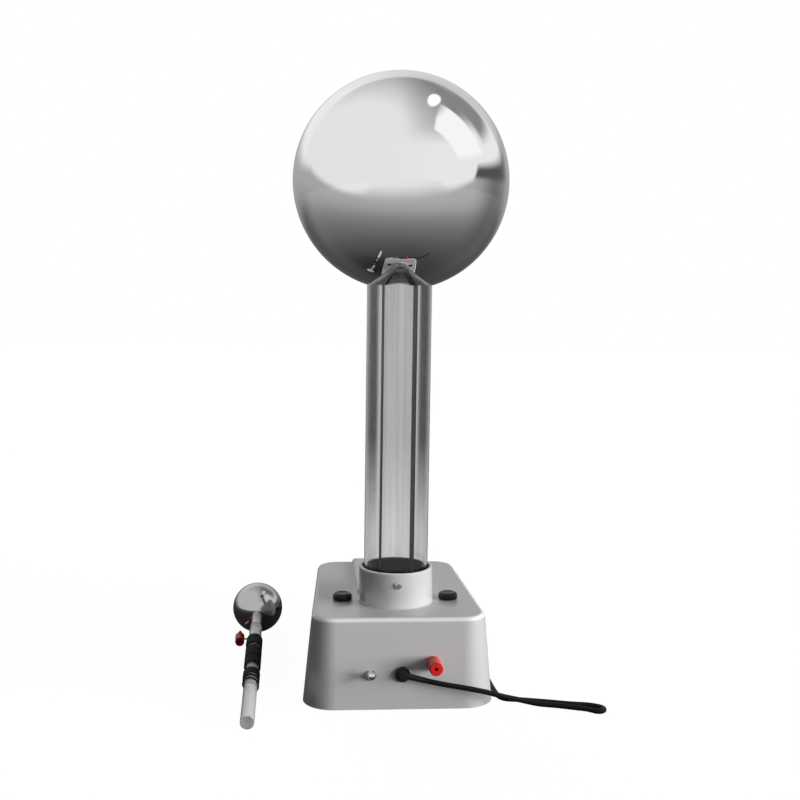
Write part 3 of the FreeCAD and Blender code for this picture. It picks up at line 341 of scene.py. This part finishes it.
red = surface("red_plastic", (0.56, 0.012, 0.008), (0.64, 0.018, 0.012), metal=0.0,
              rough=(0.28, 0.38), grain=500.0, strength=0.08, distance=0.0001, specular=0.35)
pale = surface("pale_plastic", grey(0.55), grey(0.62), metal=0.0, rough=(0.38, 0.5),
               grain=400.0, distance=0.0001)
can = surface("motor_paint", grey(0.03), grey(0.045), metal=0.3, rough=(0.35, 0.5),
              grain=300.0, strength=0.12, distance=0.0001)
sheath = surface("cord_sheath", grey(0.004), grey(0.007), metal=0.0, rough=(0.42, 0.54),
                 grain=420.0, distance=0.0001, specular=0.15)
# the tube's light and dark bands are painted reflection, set by viewing angle
tube_clear = clear("clear_tube", rough=(0.0, 0.015), smoke=130.0, stretch=(1, 1, 0.2),
                   reflection_stops=((0.0, 0.84), (0.18, 0.84), (0.23, 1.0), (0.29, 0.16), (0.62, 0.13),
                          (0.80, 0.9), (1.0, 1.0)))
rod_clear = clear("clear_rod", rough=(0.15, 0.25), smoke=15.0, stretch=(1, 0.2, 1), haze=0.3)

finishes = {
    paint: ["housing_shell", "top_spine"],
    collar_paint: ["column_collar"],
    polished: ["dome_rim"],
    chrome: ["toggle_body", "toggle_nut", "toggle_lever", "motor_shaft", "upper_axle", "dome_seat",
             "plug_pins", "wand_plug_pin"],
    zinc: ["base_plate", "chassis_bracket"],
    fixing: ["base_screws", "top_screws", "clamp_studs", "collar_screws", "motor_screws",
             "rail_screws", "comb_screws", "post_nut"],
    brass: ["front_bearing", "lower_comb", "upper_comb", "upper_bushes", "post_stem"],
    machined: ["comb_rail", "upper_comb_rail", "upper_roller", "wand_stem"],
    rubber: ["foot_pad", "tube_bush", "drive_belt"],
    plastic: ["strain_relief", "relief_nut", "cord_tie", "plug_body"],
    gloss: ["left_thumb_nut", "right_thumb_nut"],
    red: ["post_flange", "post_cap", "wand_plug"],
    pale: ["lower_roller", "upper_yoke", "terminal_block"],
    can: ["motor_body", "contact_strip"],
    rod_clear: ["wand_rod"],
}
for material, names in finishes.items():
    for name in names:
        nodes[name].data.materials.clear()
        nodes[name].data.materials.append(material)


# ------------------------------------------------------------------ pieces
ON_AXIS = 1e-6  # a profile point with a smaller radius is one point on the axis
SHARP_ANGLE = math.radians(35.0)


def add_mesh(name, points, faces, material, smooth=True):
    mesh = bpy.data.meshes.new(name)
    mesh.from_pydata([tuple(p) for p in points], [], faces)
    mesh.materials.append(material)
    mesh.validate()
    if smooth:
        mesh.shade_smooth()
    thing = bpy.data.objects.new(name, mesh)
    bpy.context.scene.collection.objects.link(thing)
    return thing


def lathe(name, profile, material, frame_matrix, around):
    """Turn a closed profile of (radius, height) in mm round the Z axis of a frame."""
    points = []
    faces = []
    rings = []
    for radius, height in profile:
        if radius < ON_AXIS:
            rings.append([len(points)] * around)
            points.append(frame_matrix @ Vector((0, 0, height * MM)))
            continue
        ring = []
        for i in range(around):
            angle = 2 * math.pi * i / around
            ring.append(len(points))
            points.append(frame_matrix @ Vector((radius * MM * math.cos(angle),
                                                 radius * MM * math.sin(angle), height * MM)))
        rings.append(ring)
    for first, second in zip(rings, rings[1:] + rings[:1]):
        for i in range(around):
            j = (i + 1) % around
            corners = []
            for corner in (first[i], first[j], second[j], second[i]):
                if corner not in corners:
                    corners.append(corner)
            if len(corners) > 2:
                faces.append(corners)
    thing = add_mesh(name, points, faces, material)
    thing.data.set_sharp_from_angle(angle=SHARP_ANGLE)
    return thing


def nurbs(name, points, diameter, material):
    """A cord as one open NURBS spline through its route."""
    curve = bpy.data.curves.new(name, "CURVE")
    curve.dimensions = "3D"
    curve.bevel_depth = diameter / 2
    curve.bevel_resolution = 6
    curve.resolution_u = 12
    curve.use_fill_caps = True
    spline = curve.splines.new("NURBS")
    spline.points.add(len(points) - 1)
    for point, spot in zip(spline.points, points):
        point.co = (spot[0] * MM, spot[1] * MM, spot[2] * MM, 1.0)
    spline.order_u = 3
    spline.use_endpoint_u = True
    curve.materials.append(material)
    thing = bpy.data.objects.new(name, curve)
    bpy.context.scene.collection.objects.link(thing)
    return thing


# ------------------------------------------------------------------ mains cord
CORD_WIDTH = 6.0
LOW = 3.0  # the middle of a cord that lies on the table
BOOT_END = Vector((27.981, -92.884, 36.277))
BOOT_HEADING = Vector((0.972, -0.086, -0.217)).normalized()
STRAIGHT = 19  # how far the cord goes on along the boot's heading
FALLING = ((76.6, -97.6, 27.9), (100.8, -96.8, 22.2), (119, -90.5, 14.9), (136, -83, 8.8),
           (150, -81, 4.6))
LYING = ((163, -84.4), (176, -87.6), (188, -91.5), (201, -96.8), (214, -101.2),
         (224, -110.6), (232, -107.8), (233.6, -99.4), (226.4, -92.8), (215, -88), (203, -86.2),
         (192.7, -83.4), (183, -80.6), (173.2, -77.3), (164.2, -75), (155, -72.6), (145.4, -70),
         (136, -67.3), (129, -66.3), (123.4, -63.6), (119.6, -59), (118, -52.4), (117, -43),
         (115.6, -24), (114.7, 10), (112.6, 54), (108.9, 102), (105.4, 151), (100.6, 193),
         (93.8, 223))
ONTO_COIL = ((89.5, 240, LOW + 0.6), (89, 249.9, LOW + 1))
COIL = Vector((46.0, 262.0, 0.0))
COIL_TURNS = 4.24
COIL_POINTS = 12  # in each turn
COIL_START = -16  # degrees from X
COIL_WIDE, COIL_NARROWER, COIL_WIDER_AGAIN = 43.2, 14.0, 11.4
NARROWING_ENDS, WIDENING_STARTS = 1.9, 2.3  # in turns
COIL_LOW, COIL_CLIMB, CLIMB_TURNS = 4.0, 6.4, 0.5
TO_PLUG = ((23, COIL.y + 38, 11), (7, COIL.y + 35, 12.8), (-12, COIL.y + 34.5, 17))


def coil_route():
    """Turns that narrow on the table, climb, and widen again on top of themselves."""
    spots = []
    for i in range(1, int(COIL_POINTS * COIL_TURNS) + 1):
        turn = i / COIL_POINTS
        angle = math.radians(COIL_START + 360 * turn)
        inward = min(1.0, turn / NARROWING_ENDS)
        outward = max(0.0, (turn - WIDENING_STARTS) / (COIL_TURNS - WIDENING_STARTS))
        radius = COIL_WIDE - COIL_NARROWER * inward + COIL_WIDER_AGAIN * outward
        climb = min(1.0, max(0.0, (turn - NARROWING_ENDS) / CLIMB_TURNS))
        spots.append((COIL.x + radius * math.cos(angle), COIL.y + radius * math.sin(angle),
                      COIL_LOW + COIL_CLIMB * climb))
    return spots


route = [tuple(BOOT_END), tuple(BOOT_END + BOOT_HEADING * STRAIGHT)]
route += FALLING
route += [(x, y, LOW) for x, y in LYING]
route += ONTO_COIL
route += coil_route()
route += TO_PLUG
cord = nurbs("mains_flex", route, CORD_WIDTH * MM, sheath)
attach(cord, "machine")
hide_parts("mains_cord", "cord_coil", "plug_lead")

# ------------------------------------------------------------------ wand
BALL_RADIUS = 33.5
BALL = Vector((-172.0, 217.5, BALL_RADIUS))
WAND_TILT = math.radians(4.08785)
WAND_TURN = math.radians(0.21)
wand_axis = Vector((math.sin(WAND_TURN) * math.cos(WAND_TILT),
                    -math.cos(WAND_TURN) * math.cos(WAND_TILT), -math.sin(WAND_TILT)))
wand_up = Vector((-1, 0, 0)).cross(wand_axis).normalized()
wand_side = wand_axis.cross(wand_up).normalized()
wand_frame = Matrix((-wand_side, wand_up, wand_axis)).transposed().to_4x4()
wand_frame = Matrix.Translation(BALL * MM) @ wand_frame

LEAD = 1.0  # radius of the lead
WOUND = 9.35  # radius of its turns round the rod
HOLE_DEEP, HOLE_MOUTH = 1.5, WOUND + 1.7  # where the lead starts in the rod, and comes out
LOOSE_FROM = BALL_RADIUS + 209  # along the rod, from the middle of the ball
LOOSE_END = BALL_RADIUS + 230.5
LOOSE_STEPS, LOOSE_LAST = 24, 22
LOOSE_SWEEP = 720  # degrees
UNDER = 180  # degrees round the rod: its underside
WIND_POINTS = 16  # in each turn
WINDINGS = ((194.0, 209.0, 6.75), (174.0, 194.0, 0.5), (155.0, 174.0, 8.5),
            (151.5, 155.0, 0.5), (124.5, 151.5, 12.5), (114.0, 124.5, 0.5),
            (88.0, 114.0, 11.5))  # from, to and turns, measured from the ball's surface
OFF_THE_ROD = ((-1.4, 1.2, -7.5), (0.9, 5.7, -15), (5.9, 13.7, -19.6), (10.4, 24.7, -20.4),
               (13.7, 37.7, -20.4), (14.5, 50.7, -20.2), (13.1, 61.3, -19.6))
PLUG_NEAR = Vector((-193.2, 150, 6))
PLUG_HEADING = Vector((-1.52, 38, 0)).normalized()
PLUG_SIDE = Vector((PLUG_HEADING.y, -PLUG_HEADING.x, 0))
SOCKET_ALONG, SOCKET_OUT, SOCKET_RUN = 13, 6, 10.5  # the lead's way into the plug's side


def round_rod(along, angle, radius):
    """A point round the wand rod in mm; angle 0 is on top, 90 on the left."""
    bend = math.radians(angle)
    return tuple(BALL + wand_axis * along
                 + (wand_up * math.cos(bend) + wand_side * math.sin(bend)) * radius)


def wound_route():
    """Out of the hole in the rod, along its last loose turns, and through all the windings."""
    spots = [round_rod(LOOSE_END, UNDER, HOLE_DEEP), round_rod(LOOSE_END, UNDER + 4, HOLE_MOUTH)]
    for i in range(LOOSE_LAST, -1, -1):
        share = i / LOOSE_STEPS
        spots.append(round_rod(LOOSE_FROM + (LOOSE_END - LOOSE_FROM) * share,
                               UNDER - LOOSE_SWEEP * share, WOUND + 0.1))
    wound = 0
    for first, last, winds in WINDINGS:
        count = int(WIND_POINTS * winds)
        for i in range(1, count + 1):
            wound += 1
            spots.append(round_rod(BALL_RADIUS + last - (last - first) * i / count,
                                   UNDER + 360 * wound / WIND_POINTS, WOUND))
    return spots


lead_route = wound_route()
leave = Vector(lead_route[-1])
entry = PLUG_NEAR + PLUG_HEADING * SOCKET_ALONG + PLUG_SIDE * SOCKET_OUT
lead_route += [tuple(leave + Vector(step)) for step in OFF_THE_ROD]
lead_route += [tuple(entry + PLUG_SIDE * SOCKET_RUN), tuple(entry)]
lead = nurbs("wand_flex", lead_route, 2 * LEAD * MM, sheath)
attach(lead, "wand")
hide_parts("wand_lead_winding", "wand_lead_turns", "wand_lead")


# ------------------------------------------------------------------ turned skins
UPRIGHT = Matrix.Identity(4)
DOME_RADIUS, DOME_INNER, DOME_HEIGHT = 125, 123.8, 600
MOUTH_RADIUS = 39.2
BALL_INNER = 32
NECK_RADIUS = 5.2
TUBE_PROFILE = ((38, 111.4), (38, 535.6), (37.6, 536), (35.4, 536), (35, 535.6), (35, 111.4),
                (35.4, 111), (37.6, 111))


def arc(radius, height, start, end, count):
    """Profile points on a ball at a height; 0 degrees is its lowest point and 180 its top."""
    steps = [start + (end - start) * i / count for i in range(count + 1)]
    return [(radius * math.sin(math.radians(a)), height - radius * math.cos(math.radians(a)))
            for a in steps]


def opening(hole, radius):
    """Degrees from the pole of a ball to the edge of a round hole in it."""
    return math.degrees(math.asin(hole / radius))


dome = lathe("dome_skin",
             arc(DOME_RADIUS, DOME_HEIGHT, opening(MOUTH_RADIUS, DOME_RADIUS), 180, 150)
             + arc(DOME_INNER, DOME_HEIGHT, 180, opening(MOUTH_RADIUS, DOME_INNER), 80),
             polished, UPRIGHT, around=256)
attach(dome, "dome")
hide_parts("dome_shell")
tube = lathe("tube_skin", TUBE_PROFILE, tube_clear, UPRIGHT, around=192)
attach(tube, "machine")
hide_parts("column_tube")
neck = 180 - opening(NECK_RADIUS, BALL_RADIUS)
wand_ball = lathe("wand_ball_skin",
                  arc(BALL_RADIUS, 0, 0, neck, 96) + arc(BALL_INNER, 0, neck, 0, 48),
                  steel, wand_frame, around=128)
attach(wand_ball, "wand")
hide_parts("wand_ball")

# ------------------------------------------------------------------ the room that metal shows
TABLE_TONES = ((0.0, 0.44), (0.14, 0.42), (0.27, 0.35), (0.40, 0.23), (0.52, 0.16), (0.72, 0.08),
               (0.92, 0.02), (1.0, 0.0))
TABLE_UNDER = (0.0, 0.26, -0.96)  # the heading at which the table is darkest
TABLE_END_TONE = 0.09
SHADE_TONE = 0.27
WINDOW_TONE = 1.07
GLINT_TONE = 1.3
# The lamp that metal shows is an ellipse: two ways across it, and how narrow it is along each.
GLINT_ACROSS, GLINT_NARROW = (0.927, -0.117, -0.356), 14.7
GLINT_ALONG, GLINT_LONG = (-0.072, -0.988, 0.136), 5.6


def table_tone(tree, heading, right, back, up):
    """A table that grows darker toward the object, to the far right and to the rear."""
    table = grey_tones(tree, vectors(tree, "DOT_PRODUCT", heading, TABLE_UNDER), TABLE_TONES)
    far_right = product(tree, ramp(tree, right, 0.5, 0.95), ramp(tree, back, -0.3, 0.4))
    table = darkened(tree, table, far_right, 0.6)
    rear = product(tree, ramp(tree, back, 0.4, 0.8), ramp(tree, up, -0.25, 0.0, 1.0, 0.0))
    table = darkened(tree, table, rear, 0.62)
    right_end = product(tree, ramp(tree, right, 0.5, 0.9), ramp(tree, up, 0.02, 0.1))
    return layered(tree, table, right_end, TABLE_END_TONE)


def glint(tree, heading):
    """1 inside the round lamp that the metal shows."""
    squares = [maths(tree, "POWER",
                     product(tree, vectors(tree, "DOT_PRODUCT", heading, way), narrow), 2)
               for way, narrow in ((GLINT_ALONG, GLINT_LONG), (GLINT_ACROSS, GLINT_NARROW))]
    return ramp(tree, maths(tree, "ADD", *squares), 0.5, 1.5, 1.0, 0.0)


def wall_tone(tree, heading, right, back, up):
    """Bright walls under a ceiling that falls off to the back right, a window and a lamp."""
    slope = maths(tree, "ADD", product(tree, right, 0.48), product(tree, back, 0.36))
    ceiling = maths(tree, "SUBTRACT", 0.73, slope)
    ceiling = maths(tree, "MINIMUM", maths(tree, "MAXIMUM", ceiling, 0.40), 0.88)
    ceiling = maths(tree, "SUBTRACT", ceiling, ramp(tree, right, -0.1, 0.25, 0.0, 0.15))
    room = ramp(tree, right, -0.9, 0.9, 0.88, 0.93)
    room = layered(tree, room, ramp(tree, up, 0.5, 0.82), ceiling)
    shade = product(tree, within(tree, back, 0.2, 0.62, 0.08), ramp(tree, right, 0.3, 0.5),
                    ramp(tree, up, 0.38, 0.55))
    room = layered(tree, room, shade, SHADE_TONE)
    far_wall = ramp(tree, right, -0.4, 0.4, 0.93, 0.64)
    room = layered(tree, room, ramp(tree, back, 0.6, 0.7), far_wall)
    window = product(tree, within(tree, back, -0.5, 0.07), within(tree, up, 0.34, 0.88, 0.05),
                     ramp(tree, right, 0.42, 0.47))
    room = layered(tree, room, window, WINDOW_TONE)
    return layered(tree, room, glint(tree, heading), GLINT_TONE)


def above_edge(tree, right, back, up):
    """1 above the edge of the table and 0 below, crisp at the back and at both sides."""
    edge = maths(tree, "MINIMUM", product(tree, back, 0.41), 0.17)
    edge = maths(tree, "ADD", edge, product(tree, right, 0.08))
    beside = product(tree, ramp(tree, right, 0.5, 0.8), ramp(tree, back, -0.25, -0.08))
    edge = layered(tree, edge, beside, 0.16)
    crisp = ramp(tree, maths(tree, "ABSOLUTE", right), 0.5, 0.95, 1.0, 2.2)
    crisp = maths(tree, "ADD", product(tree, back, 0.35), crisp)
    above = product(tree, maths(tree, "SUBTRACT", up, edge), crisp)
    return ramp(tree, above, -0.03, 0.25)


def room_in_metal(tree, heading):
    """Brightness of the room round the object along a heading, as polished metal shows it.

    A table with its edge in front lies below; walls, a ceiling, a window on the right and a
    round lamp stand above it.
    """
    parts = axes(tree, heading)
    return layered(tree, table_tone(tree, heading, *parts), above_edge(tree, *parts),
                   wall_tone(tree, heading, *parts))


def seen_plainly(tree):
    """1 for camera and transmission rays; and the glossy ray output."""
    path = tree.nodes.new("ShaderNodeLightPath")
    plain = maths(tree, "MAXIMUM", path.outputs["Is Camera Ray"],
                  path.outputs["Is Transmission Ray"])
    return plain, path.outputs["Is Glossy Ray"]


# ------------------------------------------------------------------ stage and light
FLOOR_HALF = 6.0
FLOOR_GREY = 0.06  # what the floor takes from the lamps, so that a light shadow stays on it
FLOOR_WHITE = 0.97
FLOOR_ROUGHNESS = 0.95
ROOM_MIDDLE = (0, 0, 0.6)  # the height of the dome, in metres
WORLD_WHITE = 1.0
WORLD_FILL = 0.13
LAMP_DISTANCE = 3.0


def make_floor():
    """Nearly white to the camera and through glass; to metal the room; dark to the lamps."""
    material, tree, shader, where = nodes_of("pale_floor")
    shader.inputs["Base Color"].default_value = (*grey(FLOOR_GREY), 1)
    shader.inputs["Roughness"].default_value = FLOOR_ROUGHNESS
    shader.inputs["Specular IOR Level"].default_value = 0.0
    glow = tree.nodes.new("ShaderNodeEmission")
    glow.inputs["Color"].default_value = (1, 1, 1, 1)
    add = tree.nodes.new("ShaderNodeAddShader")
    plain, glossy = seen_plainly(tree)
    heading = vectors(tree, "NORMALIZE", vectors(tree, "SUBTRACT", where, ROOM_MIDDLE))
    mirrored = room_in_metal(tree, heading)
    strength = layered(tree, product(tree, glossy, mirrored), plain, FLOOR_WHITE)
    link(tree, strength, glow.inputs["Strength"])
    link(tree, shader.outputs["BSDF"], add.inputs[0])
    link(tree, glow.outputs["Emission"], add.inputs[1])
    link(tree, add.outputs["Shader"], tree.nodes["Material Output"].inputs["Surface"])
    half = FLOOR_HALF
    floor = add_mesh("floor", [(-half, -half, 0), (half, -half, 0), (half, half, 0),
                               (-half, half, 0)], [(0, 1, 2, 3)], material, False)


def make_world():
    """White to the camera and through glass; to metal the room; a soft fill to all else."""
    world = bpy.data.worlds.new("studio")
    world.use_nodes = True
    bpy.context.scene.world = world
    tree = world.node_tree
    background = tree.nodes["Background"]
    background.inputs["Color"].default_value = (1, 1, 1, 1)
    place = tree.nodes.new("ShaderNodeTexCoord")
    room = room_in_metal(tree, place.outputs["Generated"])
    plain, glossy = seen_plainly(tree)
    lit = layered(tree, WORLD_FILL, glossy, room)
    link(tree, layered(tree, lit, plain, WORLD_WHITE), background.inputs["Strength"])


def lamp(name, toward_lamp, strength, softness):
    """A broad distant lamp that metal and glass don't show.

    Its softness is its width in degrees as the object sees it.
    """
    data = bpy.data.lights.new(name, "SUN")
    data.energy = strength
    data.angle = math.radians(softness)
    thing = bpy.data.objects.new(name, data)
    bpy.context.scene.collection.objects.link(thing)
    thing.visible_glossy = False
    thing.visible_transmission = False
    thing.location = Vector(toward_lamp).normalized() * LAMP_DISTANCE
    thing.rotation_euler = Vector(toward_lamp).to_track_quat("Z", "Y").to_euler()


make_floor()
make_world()
lamp("window_right", (0.91, -0.43, 0.06), strength=8.6, softness=46)
lamp("soft_back", (-0.25, 0.95, 0.08), strength=2.2, softness=60)
